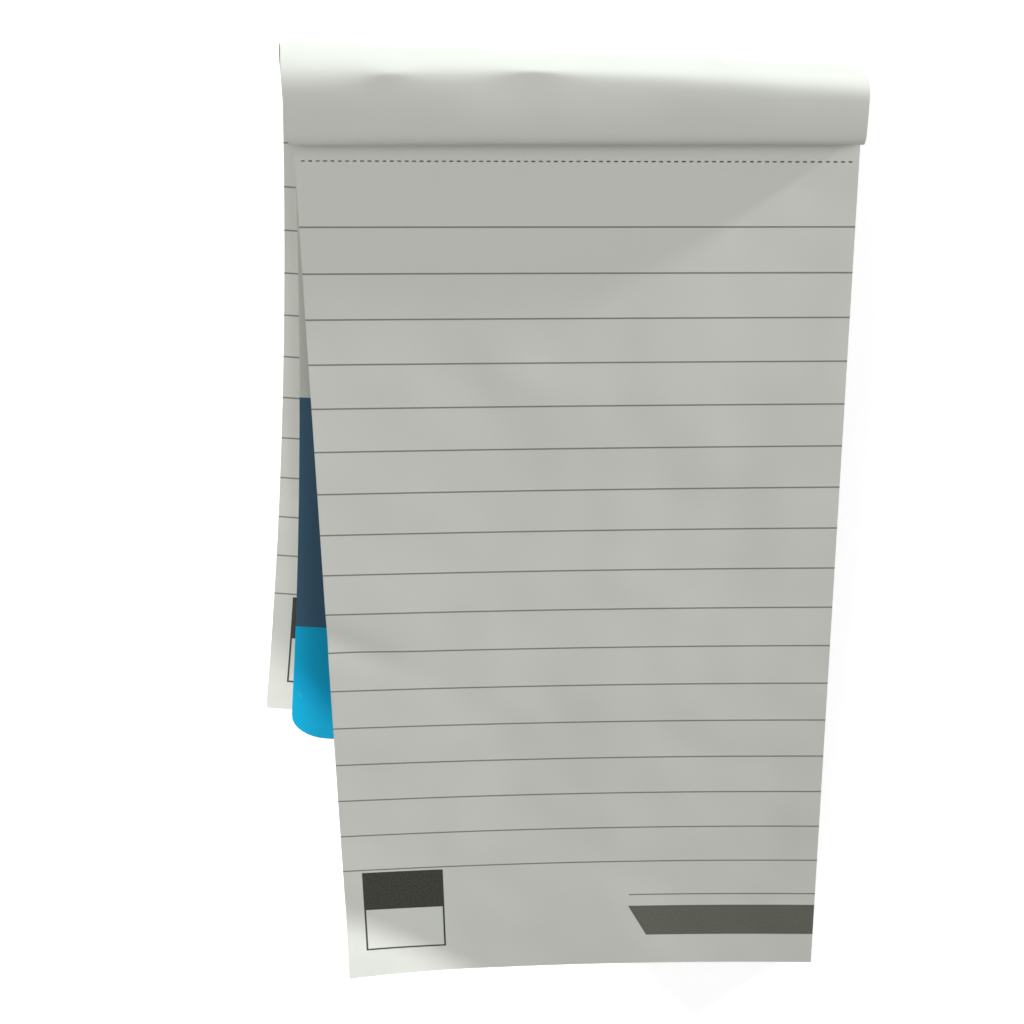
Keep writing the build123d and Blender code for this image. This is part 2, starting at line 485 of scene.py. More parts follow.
NOISE_LOW, NOISE_HIGH = 0.3, 0.7  # between these lie most values of a noise
INK_EDGE = 0.00005  # how softly ink ends
INK_LEAST = 0.94  # cover of the ink where it is thinnest
INK_GRAIN, CLOUDS, FIBRES, TOOTH, WAVES = 2600.0, 55.0, 1700.0, 2400.0, 22.0  # lumps to the metre
MOTTLE, RUBBED, WIRE_MARKS, TABLE_CLOUDS = 900.0, 420.0, 5200.0, 3.0  # lumps to the metre
RUB_LOW, RUB_HIGH, RUB_MOST = 0.62, 0.80, 0.16  # where the cover's ink is rubbed, and how much
WIRE_DARK, TABLE_DARK = 0.8, 0.995  # darkest tones, as parts of the colour
WAVE_HEIGHT = 0.0025  # of the broad waves in the paper
TOOTH_HEIGHT, TOOTH_STRENGTH = 0.00002, 0.25
MOTTLE_HEIGHT, MOTTLE_STRENGTH = 0.00002, 0.18
PAPER_TONES = 0.06  # how much lighter or darker than its colour paper gets
PAPER_SPREAD, EDGE_SPREAD, CARD_SPREAD, COATED_SPREAD = 0.035, 0.06, 0.05, 0.03  # how cloudy each one is
PAPER_SHEEN, CARD_SHEEN = 0.25, 0.12
PAPER_ROUGHNESS, CARD_ROUGHNESS, COATED_ROUGHNESS = (0.78, 0.94), (0.70, 0.88), (0.36, 0.52)
WIRE_ROUGHNESS = (0.22, 0.42)
WHITE = (1.0, 1.0, 1.0)


def new_material(name):
    """An empty node material. Returns it with its tree and its Principled shader."""
    material = bpy.data.materials.new(name)
    material.use_nodes = True
    tree = material.node_tree
    tree.nodes.clear()
    shader = tree.nodes.new("ShaderNodeBsdfPrincipled")
    output = tree.nodes.new("ShaderNodeOutputMaterial")
    tree.links.new(shader.outputs[0], output.inputs["Surface"])
    return material, tree, shader


def noise(tree, coordinates, scale, detail=2.0, roughness=0.5):
    """Output of a noise texture with a scale in lumps to the metre."""
    node = add(
        tree,
        "ShaderNodeTexNoise",
        {"Vector": coordinates, "Scale": scale, "Detail": detail, "Roughness": roughness},
    )
    return node.outputs[0]


def ramp(tree, value, low, high, start, end, smooth=False):
    """Maps a value from low..high to start..end and holds it there."""
    kind = "SMOOTHSTEP" if smooth else "LINEAR"
    keys = {"Value": value, "From Min": low, "From Max": high, "To Min": start, "To Max": end}
    return add(tree, "ShaderNodeMapRange", keys, interpolation_type=kind).outputs[0]


def mix_colour(tree, factor, first, second):
    """Output of a colour mix."""
    node = add(tree, "ShaderNodeMix", data_type="RGBA")
    feed(tree, input_named(node, "Factor", "VALUE"), factor)
    for name, value in (("A", first), ("B", second)):
        is_socket = isinstance(value, bpy.types.NodeSocket)
        feed(tree, input_named(node, name, "RGBA"), value if is_socket else (*value, 1.0))
    return next(socket for socket in node.outputs if socket.type == "RGBA")


def spread_noise(tree, value, start, end):
    """Maps the values that a noise mostly has to start..end."""
    return ramp(tree, value, NOISE_LOW, NOISE_HIGH, start, end)


def flat_place(tree):
    """A point's place on the flat sheet, and how far across and along the sheet it is."""
    place = add(tree, "ShaderNodeUVMap", uv_map=SHEET_UV).outputs[0]
    axes = add(tree, "ShaderNodeSeparateXYZ", {0: place})
    return place, axes.outputs[0], axes.outputs[1]


def printed_box(tree, across, along, left, right, foot, top):
    """Mask of a printed rectangle."""
    beside = math_node(tree, "ABSOLUTE", math_node(tree, "SUBTRACT", across, (left + right) / 2))
    beyond = math_node(tree, "ABSOLUTE", math_node(tree, "SUBTRACT", along, (foot + top) / 2))
    wide = math_node(tree, "SUBTRACT", beside, (right - left) / 2)
    high = math_node(tree, "SUBTRACT", beyond, (top - foot) / 2)
    outside = math_node(tree, "MAXIMUM", wide, high)
    return ramp(tree, outside, -INK_EDGE, INK_EDGE, 1.0, 0.0, smooth=True)


def printed_rules(tree, along, pad, sizes):
    """Mask of the rules that run from edge to edge."""
    first = pad.tear_length - sizes.first_rule
    below = math_node(tree, "SUBTRACT", first, along)
    steps = math_node(tree, "DIVIDE", below, sizes.rule_pitch)
    nearest = math_node(tree, "ROUND", steps)
    held = math_node(tree, "MINIMUM", math_node(tree, "MAXIMUM", nearest, 0.0), sizes.rule_count - 1.0)
    away = math_node(tree, "ABSOLUTE", math_node(tree, "SUBTRACT", steps, held))
    distance = math_node(tree, "MULTIPLY", away, sizes.rule_pitch)
    half = sizes.rule_width / 2
    return ramp(tree, distance, half - INK_EDGE, half + INK_EDGE, 1.0, 0.0, smooth=True)


def most(tree, *masks):
    """Union of masks."""
    result = masks[0]
    for mask in masks[1:]:
        result = math_node(tree, "MAXIMUM", result, mask)
    return result


def printed_leaf(tree, base, pad, sizes, colours):
    """Colour of a ruled leaf with a box and a dark band at its foot."""
    place, across, along = flat_place(tree)
    line = sizes.box_line
    past_edge = 2.0 * pad.leaf_width
    short_place = pad.tear_length - sizes.first_rule - sizes.rule_count * sizes.rule_pitch
    short = printed_box(
        tree,
        across,
        along,
        sizes.short_rule,
        past_edge,
        short_place - sizes.rule_width / 2,
        short_place + sizes.rule_width / 2,
    )
    rules = most(tree, printed_rules(tree, along, pad, sizes), short)
    left, right = sizes.box_left, sizes.box_left + sizes.box_width
    foot, top = sizes.box_foot, sizes.box_foot + sizes.box_height
    outside = printed_box(tree, across, along, left, right, foot, top + sizes.box_header)
    inside = printed_box(tree, across, along, left + line, right - line, foot + line, top)
    box = math_node(tree, "SUBTRACT", outside, inside)
    lean = math_node(tree, "SUBTRACT", sizes.band_top, along)
    leaning = math_node(tree, "MULTIPLY", lean, sizes.band_slant / sizes.band_height)
    band = printed_box(
        tree,
        math_node(tree, "SUBTRACT", across, leaning),
        along,
        sizes.band_left,
        past_edge,
        sizes.band_top - sizes.band_height,
        sizes.band_top,
    )
    result = base
    grain = noise(tree, place, INK_GRAIN, 3.0)
    cover = ramp(tree, grain, 0.2, 0.6, INK_LEAST, 1.0)
    for mask, ink in ((rules, colours.rule_ink), (box, colours.box_ink), (band, colours.band_ink)):
        result = mix_colour(tree, math_node(tree, "MULTIPLY", mask, cover), result, ink)
    return result


def paper_base(tree, tint, spread):
    """Colour of bare paper or card: cloudy, with fine fibres. Returns the colour and the coordinates."""
    place = tree.nodes.new("ShaderNodeTexCoord").outputs["Object"]
    clouds = noise(tree, place, CLOUDS, 3.0)
    fibres = noise(tree, place, FIBRES, 4.0, 0.7)
    tones = [spread_noise(tree, value, -spread, spread) for value in (clouds, fibres)]
    tone = math_node(tree, "ADD", math_node(tree, "ADD", *tones), 0.5)
    light = [min(1.0, c * (1.0 + PAPER_TONES)) for c in tint]
    dark = [c * (1.0 - PAPER_TONES) for c in tint]
    return mix_colour(tree, tone, dark, light), place


def paper_finish(tree, shader, place):
    """Matt finish with the broad waves and the fine tooth of writing paper."""
    waves = noise(tree, place, WAVES)
    wavy = add(tree, "ShaderNodeBump", {"Height": waves, "Strength": 1.0, "Distance": WAVE_HEIGHT})
    tooth = noise(tree, place, TOOTH, 4.0, 0.65)
    fine = {"Height": tooth, "Strength": TOOTH_STRENGTH, "Distance": TOOTH_HEIGHT}
    bump = add(tree, "ShaderNodeBump", {**fine, "Normal": wavy.outputs[0]})
    tree.links.new(bump.outputs[0], shader.inputs["Normal"])
    tree.links.new(spread_noise(tree, tooth, *PAPER_ROUGHNESS), shader.inputs["Roughness"])
    shader.inputs["Specular IOR Level"].default_value = PAPER_SHEEN


def bare_paper(name, settings, spread):
    """Paper without print."""
    material, tree, shader = new_material(name)
    base, place = paper_base(tree, settings.colours.paper, spread)
    tree.links.new(base, shader.inputs["Base Color"])
    paper_finish(tree, shader, place)
    return material


def blank_paper(settings):
    """Reverse side of a leaf."""
    return bare_paper("Blank paper", settings, PAPER_SPREAD)


def leaf_edges(settings):
    """Cut edges of the leaves, a little more uneven than their sides."""
    return bare_paper("Leaf edges", settings, EDGE_SPREAD)


def ruled_paper(settings):
    """Front side of a leaf."""
    material, tree, shader = new_material("Ruled paper")
    base, place = paper_base(tree, settings.colours.paper, PAPER_SPREAD)
    front = printed_leaf(tree, base, settings.pad, settings.printed, settings.colours)
    tree.links.new(front, shader.inputs["Base Color"])
    paper_finish(tree, shader, place)
    return material


def card_finish(tree, shader, place, smooth):
    """Card: a faint mottle, and gloss where it is coated."""
    mottle = noise(tree, place, MOTTLE, 4.0, 0.6)
    uneven = {"Height": mottle, "Strength": MOTTLE_STRENGTH, "Distance": MOTTLE_HEIGHT}
    bump = add(tree, "ShaderNodeBump", uneven)
    tree.links.new(bump.outputs[0], shader.inputs["Normal"])
    roughness = COATED_ROUGHNESS if smooth else CARD_ROUGHNESS
    tree.links.new(spread_noise(tree, mottle, *roughness), shader.inputs["Roughness"])
    shader.inputs["Specular IOR Level"].default_value = CARD_SHEEN


def bare_card(settings):
    """Uncoated side and cut edges of the covers."""
    material, tree, shader = new_material("Bare card")
    base, place = paper_base(tree, settings.colours.card, CARD_SPREAD)
    tree.links.new(base, shader.inputs["Base Color"])
    card_finish(tree, shader, place, smooth=False)
    return material


def printed_card(settings):
    """Outside of the front cover: a pale field over a dark one over a bright one."""
    material, tree, shader = new_material("Printed card")
    sizes, colours = settings.printed, settings.colours
    result, place = paper_base(tree, colours.card, COATED_SPREAD)
    along = flat_place(tree)[2]
    rub = ramp(tree, noise(tree, place, RUBBED, 5.0, 0.7), RUB_LOW, RUB_HIGH, 0.0, RUB_MOST)
    fields = ((sizes.cover_middle, colours.dark_field), (sizes.cover_foot, colours.bright_field))
    for top, ink in fields:
        worn = mix_colour(tree, rub, ink, [0.5 * (c + p) for c, p in zip(ink, colours.card)])
        mask = ramp(tree, along, top - INK_EDGE, top + INK_EDGE, 1.0, 0.0, smooth=True)
        result = mix_colour(tree, mask, result, worn)
    tree.links.new(result, shader.inputs["Base Color"])
    card_finish(tree, shader, place, smooth=True)
    return material


def staple_wire(settings):
    """Drawn steel wire with fine lengthwise marks."""
    material, tree, shader = new_material("Staple wire")
    place = tree.nodes.new("ShaderNodeTexCoord").outputs["Object"]
    marks = noise(tree, place, WIRE_MARKS, 3.0, 0.7)
    wire = settings.colours.wire
    base = mix_colour(tree, spread_noise(tree, marks, 0.0, 1.0), [c * WIRE_DARK for c in wire], wire)
    tree.links.new(base, shader.inputs["Base Color"])
    tree.links.new(spread_noise(tree, marks, *WIRE_ROUGHNESS), shader.inputs["Roughness"])
    shader.inputs["Metallic"].default_value = 1.0
    return material


MAKERS = {
    "Blank paper": blank_paper,
    "Ruled paper": ruled_paper,
    "Leaf edges": leaf_edges,
    "Bare card": bare_card,
    "Printed card": printed_card,
    "Staple wire": staple_wire,
}


def finishes(settings, *names):
    """Finishes of the notepad, each made when it is first asked for."""
    return [bpy.data.materials.get(name) or MAKERS[name](settings) for name in names]


# Leaves on the pad


def slit_lines(pad, tear):
    """X of the left and right end of every slit, from left to right."""
    slit = tear.slit_pitch * tear.slit_share
    count = int((pad.leaf_width - slit) / tear.slit_pitch)
    middles = (np.arange(count) - (count - 1) / 2) * tear.slit_pitch
    return np.stack([middles - slit / 2, middles + slit / 2], axis=-1).reshape(-1)


FOOT_ROWS, LEAF_ROWS, STUB_ROWS = 24, 80, 5
PLAIN_COLUMNS = 44
FINE_LEAVES = 1  # leaves whose slits can be told apart
LIFT_FALL = 1.6  # how fast the lift falls off from leaf to leaf


def leaf_rows(pad, tear, curl):
    """Distances of a leaf's rows of points from its foot edge, and which row of faces holds the slits."""
    half = tear.slit_width / 2
    bend = curl.side + curl.foot
    foot = np.linspace(0.0, bend, FOOT_ROWS)
    leaf = np.linspace(bend, pad.tear_length - half, LEAF_ROWS)
    stub = np.linspace(pad.tear_length + half, pad.tear_length + pad.stub_length, STUB_ROWS)
    rows = np.concatenate([foot, leaf[1:], stub])
    return rows, len(foot) + len(leaf) - 2


def leaf_columns(pad, slits, fine):
    """X of a leaf's columns of points: fine ones hold every slit, the others one long slot."""
    edge = pad.leaf_width / 2
    inner = slits if fine else np.linspace(slits[0], slits[-1], PLAIN_COLUMNS)
    return np.concatenate([[-edge], inner, [edge]])


def slanted(rows, columns, pad, tear):
    """Distances from the foot edge, slanted like the tear line near it and square at both ends."""
    below = np.clip(1.0 - (pad.tear_length - rows) / tear.slant_reach, 0.0, 1.0)
    near = np.where(rows < pad.tear_length, below, 1.0 - (rows - pad.tear_length) / pad.stub_length)
    return rows[:, None] - tear.slant * near[:, None] * columns[None, :] / pad.leaf_width


def lifted_leaf(settings, across, along, layer):
    """Places of a top leaf: its left side lifts and its foot corner curls, less for each lower leaf."""
    pad, curl = settings.pad, settings.curl
    loose = (1.0 - layer / pad.leaves_lifted) ** LIFT_FALL
    u = across + pad.leaf_width / 2
    from_right = np.clip(1.0 - u / (pad.leaf_width - curl.margin), 0.0, None)
    to_foot = np.clip(1.0 - along / (pad.tear_length - settings.tear.slant), 0.0, None)
    height = curl.lift * loose * from_right**2 * to_foot
    beside = (along - curl.dent_place + curl.dent_drop * u / curl.dent_length) / curl.dent_width
    height = height - curl.dent_depth * loose * np.exp(-(beside**2) - (u / curl.dent_length) ** 2)
    bend = math.hypot(curl.foot, curl.side)
    past = np.clip((1.0 - u / curl.foot - along / curl.side) * curl.foot * curl.side / bend, 0.0, None)
    radius = curl.radius / loose
    drawn_in = past - radius * np.sin(past / radius)
    height = height + radius * (1.0 - np.cos(past / radius))
    across = across + drawn_in * curl.side / bend
    along = along + drawn_in * curl.foot / bend
    frame_of_pad = PadFrame(pad)
    top = frame_of_pad.block_top - layer * pad.leaf_thickness
    return frame_of_pad.place(across, along, top + height)


def leaf_object(settings, name, layer, fine):
    """One of the top leaves, with its slits or, where they can't be seen, one slot."""
    pad, tear = settings.pad, settings.tear
    slits = slit_lines(pad, tear)
    columns = leaf_columns(pad, slits, fine)
    rows, slit_row = leaf_rows(pad, tear, settings.curl)
    along = slanted(rows, columns, pad, tear)
    across = np.broadcast_to(columns, along.shape)
    points = lifted_leaf(settings, across, along, layer)
    uv = np.stack([across + pad.leaf_width / 2, np.broadcast_to(rows[:, None], along.shape)], axis=-1)
    leaf = grid_object(name, points, uv)
    front, back, edges = finishes(settings, "Ruled paper", "Blank paper", "Leaf edges")
    give_materials(leaf, front, back, edges)
    tree = bpy.data.node_groups.get("Tear line") or tear_tree()
    step = 2 if fine else 1
    add_nodes(leaf, tree, Columns=len(columns) - 1, Row=slit_row, Step=step, Material=front)
    thicken(leaf, pad.leaf_thickness - pad.leaf_air)
    make_plain(leaf)
    return leaf


class NOTEPAD_OT_top_leaves(bpy.types.Operator):
    """Make the leaf that lies open and the leaves under it that lift with it"""

    bl_idname = "notepad.top_leaves"
    bl_label = "Top leaves"

    def execute(self, context):
        settings = context.scene.notepad
        for layer in range(settings.pad.leaves_lifted):
            leaf = leaf_object(settings, f"top_leaf_{layer + 1}", layer, fine=layer < FINE_LEAVES)
            hand_over(leaf, "page_block")
        return {"FINISHED"}


STACK_SEED = 7


class NOTEPAD_OT_leaf_stack(bpy.types.Operator):
    """Make the stack of flat leaves under the top leaves"""

    bl_idname = "notepad.leaf_stack"
    bl_label = "Leaf stack"

    def execute(self, context):
        settings = context.scene.notepad
        pad, tear = settings.pad, settings.tear
        frame_of_pad = PadFrame(pad)
        slits = slit_lines(pad, tear)
        half, edge = tear.slit_width / 2, pad.leaf_width / 2
        columns = np.array([-edge, slits[0], slits[-1], edge])
        rows = np.array([0.0, pad.tear_length - half, pad.tear_length + half, frame_of_pad.length])
        along = slanted(rows, columns, pad, tear)
        across = np.broadcast_to(columns, along.shape)
        thickness = pad.leaf_thickness - pad.leaf_air
        points = np.stack([across, along, np.full_like(along, pad.card_thickness + thickness)], axis=-1)
        stack = grid_object("leaf_stack", points, np.stack([across + edge, along], axis=-1))
        edges = finishes(settings, "Leaf edges")[0]
        give_materials(stack, edges)
        slot_tree = bpy.data.node_groups.get("Tear line") or tear_tree()
        add_nodes(stack, slot_tree, Columns=len(columns) - 1, Row=1, Step=1, Material=edges)
        thicken(stack, thickness)
        add_nodes(
            stack,
            stack_tree(),
            Leaves=pad.leaves_left - pad.leaves_lifted,
            Pitch=(0.0, 0.0, pad.leaf_thickness),
            Jitter=(pad.leaf_jitter, pad.leaf_jitter, 0.0),
            Seed=STACK_SEED,
            Place=(0.0, frame_of_pad.foot, 0.0),
            Turn=(frame_of_pad.tilt, 0.0, 0.0),
            Material=edges,
        )
        make_plain(stack)
        hand_over(stack, "page_block")
        return {"FINISHED"}


# Sheets turned over the head


HELD_ROWS, FOLD_ROWS, LEVEL_ROWS, HEAD_ROWS, TAIL_ROWS = 4, 20, 8, 96, 44
SHEET_COLUMNS = 96
BOW_PEAK = 0.4  # where along the tail its bow is widest
DENTS = ((0.19, 0.050), (0.435, 0.070))  # places and widths of the roll's dents, as shares of its width
DENT_SHARPNESS = 0.87
MIDDLE_FULLNESS = 0.7  # below 1 the middle's form reaches nearer to the ends


def eased(value):
    """A smooth way from 0 to 1."""
    held = np.clip(value, 0.0, 1.0)
    return held * held * (3.0 - 2.0 * held)


def between(sides, c):
    """Values at shares of the width, from one at the left edge and one at the right edge."""
    return sides[LEFT] * (1.0 - c) + sides[RIGHT] * c


def column(start, end, count):
    """Even steps from start to end, one below the other."""
    return np.linspace(start, end, count)[:, None]


def roll_bend(roll, c):
    """Where the roll's top turns down, as a share of its reach, and how softly, along its width."""
    middle = np.clip(np.sin(math.pi * c), 0.0, 1.0) ** MIDDLE_FULLNESS
    place = roll.bend_ends + (roll.bend_middle - roll.bend_ends) * middle
    softness = roll.soft_ends + (roll.soft_middle - roll.soft_ends) * middle
    dented = sum(np.exp(-(((c - spot) / width) ** 2)) for spot, width in DENTS)
    return place, softness * (1.0 - DENT_SHARPNESS * dented)


def soft_most(first, second, softness):
    """The greater of two values, with a soft change from one to the other."""
    return (first + second + np.sqrt((first - second) ** 2 + softness**2)) / 2


def roll_drop(roll, c, out, reach, half):
    """How far the roll's top comes down along its reach: it rises a little, then bends into an ellipse."""
    place, softness = roll_bend(roll, c)
    rise = reach * math.tan(roll.ridge_lean)
    start = half * (1.0 - 1.0 / np.sqrt(1.0 - place**2))
    fall = half * (1.0 - np.sqrt(np.clip(1.0 - out**2, 0.0, 1.0) / (1.0 - place**2)))
    too_low = soft_most(0.0, start, softness)
    too_deep = soft_most(-rise, half, softness) - half
    return soft_most(-rise * out, fall, softness) - too_low * (1.0 - out**2) - too_deep * out**2


def turned_profile(settings, c, under, insets, rest, depth):
    """Y and Z of a turned sheet up to its tail, for shares of its width, at a depth under its surface."""
    pad, roll = PadFrame(settings.pad), settings.roll
    inset = between(insets, c)
    radius = between(roll.fold_radius, c) - inset
    fold_along = pad.length - between(roll.fold_inset, c)
    fold_y, fold_z = pad.yz(fold_along, under + radius)
    lean = roll.front_lean
    front_y, front_z = fold_y - radius * math.sin(lean), fold_z + radius * math.cos(lean)
    start = between(roll.start, c)
    head_y = pad.head - start
    first_slope, last_slope = math.tan(lean), math.tan(roll.ridge_lean)
    run = head_y - front_y
    half = (front_z + run * (first_slope + last_slope) / 2 - rest) / 2
    reach = start + between(roll.reach, c) - inset

    held = column(0.0, 1.0, HELD_ROWS)
    held_y, held_z = pad.yz(pad.length + (fold_along - pad.length) * held, under)
    turn = column(-math.pi / 2 + pad.tilt, lean - 1.5 * math.pi, FOLD_ROWS + 1)[1:]
    way = column(0.0, 1.0, LEVEL_ROWS + 1)[1:]
    down = column(0.0, math.pi, HEAD_ROWS + 1)[1:]
    out = np.sin(down)
    top_half = rest + 2.0 * half - roll_drop(roll, c, out, reach, half)
    low_half = rest + half * (1.0 + np.cos(down))
    climb = first_slope * way + (last_slope - first_slope) * way**2 / 2
    y = [held_y, fold_y + radius * np.cos(turn), front_y + run * way, head_y + reach * out]
    z = [held_z, fold_z + radius * np.sin(turn), front_z + run * climb]
    z.append(np.where(down <= math.pi / 2, top_half, low_half))
    y, z = np.concatenate(y), np.concatenate(z)
    along_y, along_z = np.gradient(y, axis=0), np.gradient(z, axis=0)
    along_y[-1], along_z[-1] = -1.0, 0.0
    size = np.hypot(along_y, along_z)
    return y + along_z / size * depth, z - along_y / size * depth


def tail_bow(roll, run):
    """Sideways bow of a tail between the roll and its foot."""
    bend = (roll.tail_bow + BOW_PEAK * roll.tail_kick) / (BOW_PEAK * (1.0 - BOW_PEAK))
    return (bend - roll.tail_kick) * run - bend * run**2


def turned_surface(settings, under, insets, rest, drift, depth, corner=None):
    """Points of a turned sheet and their places on the flat sheet, in rows from head edge to foot."""
    pad = PadFrame(settings.pad)
    c = np.linspace(0.0, 1.0, SHEET_COLUMNS + 1)
    y, z = turned_profile(settings, c, under, insets, rest, depth)
    steps = np.hypot(np.diff(y, axis=0), np.diff(z, axis=0))
    used = np.concatenate([np.zeros((1, len(c))), np.cumsum(steps, axis=0)])
    start = len(y) - HEAD_ROWS - 1
    round_head = (used - used[start]) / (used[-1] - used[start])
    shift = drift * (eased(round_head) * (1.0 - c) + eased(2.0 * round_head - 1.0) * c)
    rolled = np.stack([(c - 0.5) * pad.width - shift, y, z], axis=-1)
    rolled_uv = np.stack([np.broadcast_to(c * pad.width, used.shape), pad.length - used], axis=-1)

    edges = (LEFT, -1)
    heads = [rolled[-1, edge, :2] for edge in edges]
    tails = [pad.length - used[-1, edge] for edge in edges]
    ends = [head[1] - tail for head, tail in zip(heads, tails)]
    skew = math.atan((ends[LEFT] - ends[RIGHT]) / pad.width)
    left_foot = heads[LEFT] - np.array([math.sin(skew), math.cos(skew)]) * tails[LEFT]
    right_foot = left_foot + np.array([math.cos(skew), -math.sin(skew)]) * pad.width
    run = np.linspace(0.0, 1.0, TAIL_ROWS + 1)
    run = (np.sin(run * math.pi / 2) if corner else run)[1:]
    left_line = heads[LEFT] + run[:, None] * (left_foot - heads[LEFT])
    right_line = heads[RIGHT] + run[:, None] * (right_foot - heads[RIGHT])
    from_foot = (1.0 - run)[:, None] * between(tails, c)
    wide, tall = corner or (0.0, 1.0)
    past = np.clip(1.0 - tails[LEFT] * (1.0 - run) / tall, 0.0, 1.0)
    inset = (wide * (1.0 - np.sqrt(1.0 - past**2)) / pad.width)[:, None]
    tail_c = inset + (1.0 - 2.0 * inset) * c
    flat = left_line[:, None, :] + (right_line - left_line)[:, None, :] * tail_c[:, :, None]
    flat[:, :, 0] += tail_bow(settings.roll, run)[:, None]
    floor = np.full(tail_c.shape, rest + depth)
    tail = np.concatenate([flat, floor[:, :, None]], axis=-1)
    tail_uv = np.stack([tail_c * pad.width, from_foot], axis=-1)
    return np.concatenate([rolled, tail]), np.concatenate([rolled_uv, tail_uv])


class NOTEPAD_OT_turned_leaves(bpy.types.Operator):
    """Make the leaves that are turned over the head, each as a sheet of its own"""

    bl_idname = "notepad.turned_leaves"
    bl_label = "Turned leaves"

    def execute(self, context):
        settings = context.scene.notepad
        pad = settings.pad
        under = PadFrame(pad).turned_stub
        for layer in range(pad.leaves_turned):
            depth = layer * pad.leaf_thickness
            points, uv = turned_surface(
                settings, under, (0.0, 0.0), 0.0, settings.roll.turned_drift, depth
            )
            leaf = grid_object(f"turned_leaf_{layer + 1}", points, uv)
            give_materials(leaf, *finishes(settings, "Blank paper", "Ruled paper", "Leaf edges"))
            thicken(leaf, pad.leaf_thickness - pad.leaf_air)
            make_plain(leaf)
            hand_over(leaf, "turned_pages")
        return {"FINISHED"}


class NOTEPAD_OT_front_cover(bpy.types.Operator):
    """Make the front cover, turned over the head inside the turned leaves"""

    bl_idname = "notepad.front_cover"
    bl_label = "Front cover"

    def execute(self, context):
        settings = context.scene.notepad
        pad, roll = settings.pad, settings.roll
        turned = pad.leaves_turned * pad.leaf_thickness
        insets = [turned + gap for gap in roll.gap]
        points, uv = turned_surface(
            settings,
            PadFrame(pad).cover_stub,
            insets,
            turned + pad.sheet_air,
            roll.cover_drift,
            0.0,
            (pad.corner_wide, pad.corner_tall),
        )
        cover = grid_object("front_cover_card", points, uv)
        give_materials(cover, *finishes(settings, "Bare card", "Printed card", "Bare card"))
        thicken(cover, pad.card_thickness)
        make_plain(cover)
        hand_over(cover, "front_cover")
        return {"FINISHED"}


class NOTEPAD_OT_back_cover(bpy.types.Operator):
    """Give the back cover its card finish"""

    bl_idname = "notepad.back_cover"
    bl_label = "Back cover"

    def execute(self, context):
        give_materials(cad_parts["back_cover"], *finishes(context.scene.notepad, "Bare card"))
        return {"FINISHED"}


class NOTEPAD_OT_staples(bpy.types.Operator):
    """Give the staples their wire finish"""

    bl_idname = "notepad.staples"
    bl_label = "Staples"

    def execute(self, context):
        give_materials(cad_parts["staples"], *finishes(context.scene.notepad, "Staple wire"))
        return {"FINISHED"}


# Stage


FLOOR_HALF = 3.0
FLOOR_DROP = 0.0001
GLOW_NEAR, GLOW_FAR = 0.25, 0.90  # how far from the pad the floor's glow starts and stops to grow
CAMERA_NEAR = 0.01
COOL = (0.95, 1.0, 1.01)
SOFTBOXES = {  # place, point lit, size and tint
    "head": ((-0.50, 1.20, 0.05), (0.0, 0.09, 0.02), (0.40, 0.10), COOL),
    "right": ((1.10, 0.72, 0.185), (0.0, 0.03, 0.02), (0.12, 0.06), COOL),
    "top": ((0.42, 0.20, 0.70), (0.0, 0.0, 0.0), (0.50, 0.50), WHITE),
    "left": ((-0.45, 0.05, 0.60), (0.0, 0.0, 0.0), (0.40, 0.40), WHITE),
}
BEAMS = {  # point on the edge, normal of the edge, way to the lamp, its distance and softness of the edge
    "patch": ((-0.0447, -0.0643, 0.0072), (0.2754, 0.2645, 0.9242), (-0.283, -0.897, 0.341), 0.22, 0.0048),
    "side": ((-0.0558, 0.0200, 0.0006), (0.3668, -0.0159, 0.9301), (-0.850, 0.400, 0.342), 0.3, 0.0040),
}
BEAM_CONE = math.radians(176.0)  # so wide that the beam's edge is straight
BEAM_LAMP_RADIUS = 0.0015


def seen_rays(tree):
    """Output that is 1 for what the camera sees, also in metal and through glass."""
    rays = tree.nodes.new("ShaderNodeLightPath").outputs
    return most(tree, rays["Is Camera Ray"], rays["Is Glossy Ray"], rays["Is Transmission Ray"])


def table_finish(settings):
    """Pale floor that looks white to the camera and still takes the shadow."""
    material, tree, shader = new_material("Table")
    place = tree.nodes.new("ShaderNodeTexCoord").outputs["Object"]
    cloud = noise(tree, place, TABLE_CLOUDS)
    table = settings.colours.table
    base = mix_colour(tree, cloud, [c * TABLE_DARK for c in table], table)
    tree.links.new(base, shader.inputs["Base Color"])
    shader.inputs["Roughness"].default_value = 0.95
    shader.inputs["Specular IOR Level"].default_value = 0.0
    away = add(tree, "ShaderNodeVectorMath", {0: place}, operation="LENGTH").outputs["Value"]
    strength = ramp(tree, away, GLOW_NEAR, GLOW_FAR, settings.stage.floor_glow, 1.0)
    glow = math_node(tree, "MULTIPLY", seen_rays(tree), strength)
    shader.inputs["Emission Color"].default_value = (*WHITE, 1.0)
    tree.links.new(glow, shader.inputs["Emission Strength"])
    return material


def make_floor(settings):
    """A wide floor just under the pad."""
    edge = np.array([-FLOOR_HALF, FLOOR_HALF])
    x, y = np.meshgrid(edge, edge)
    points = np.stack([x, y, np.full_like(x, -FLOOR_DROP)], axis=-1)
    floor = grid_object("floor", points, points[:, :, :2])
    give_materials(floor, table_finish(settings))


def make_sky(settings):
    """Even light from all around, white to the camera."""
    world = bpy.data.worlds.new("Sky")
    bpy.context.scene.world = world
    world.use_nodes = True
    tree = world.node_tree
    tree.nodes.clear()
    strength = ramp(tree, seen_rays(tree), 0.0, 1.0, settings.stage.sky, 1.0)
    sky = add(tree, "ShaderNodeBackground", {"Color": (*WHITE, 1.0), "Strength": strength})
    output = tree.nodes.new("ShaderNodeOutputWorld")
    tree.links.new(sky.outputs[0], output.inputs["Surface"])


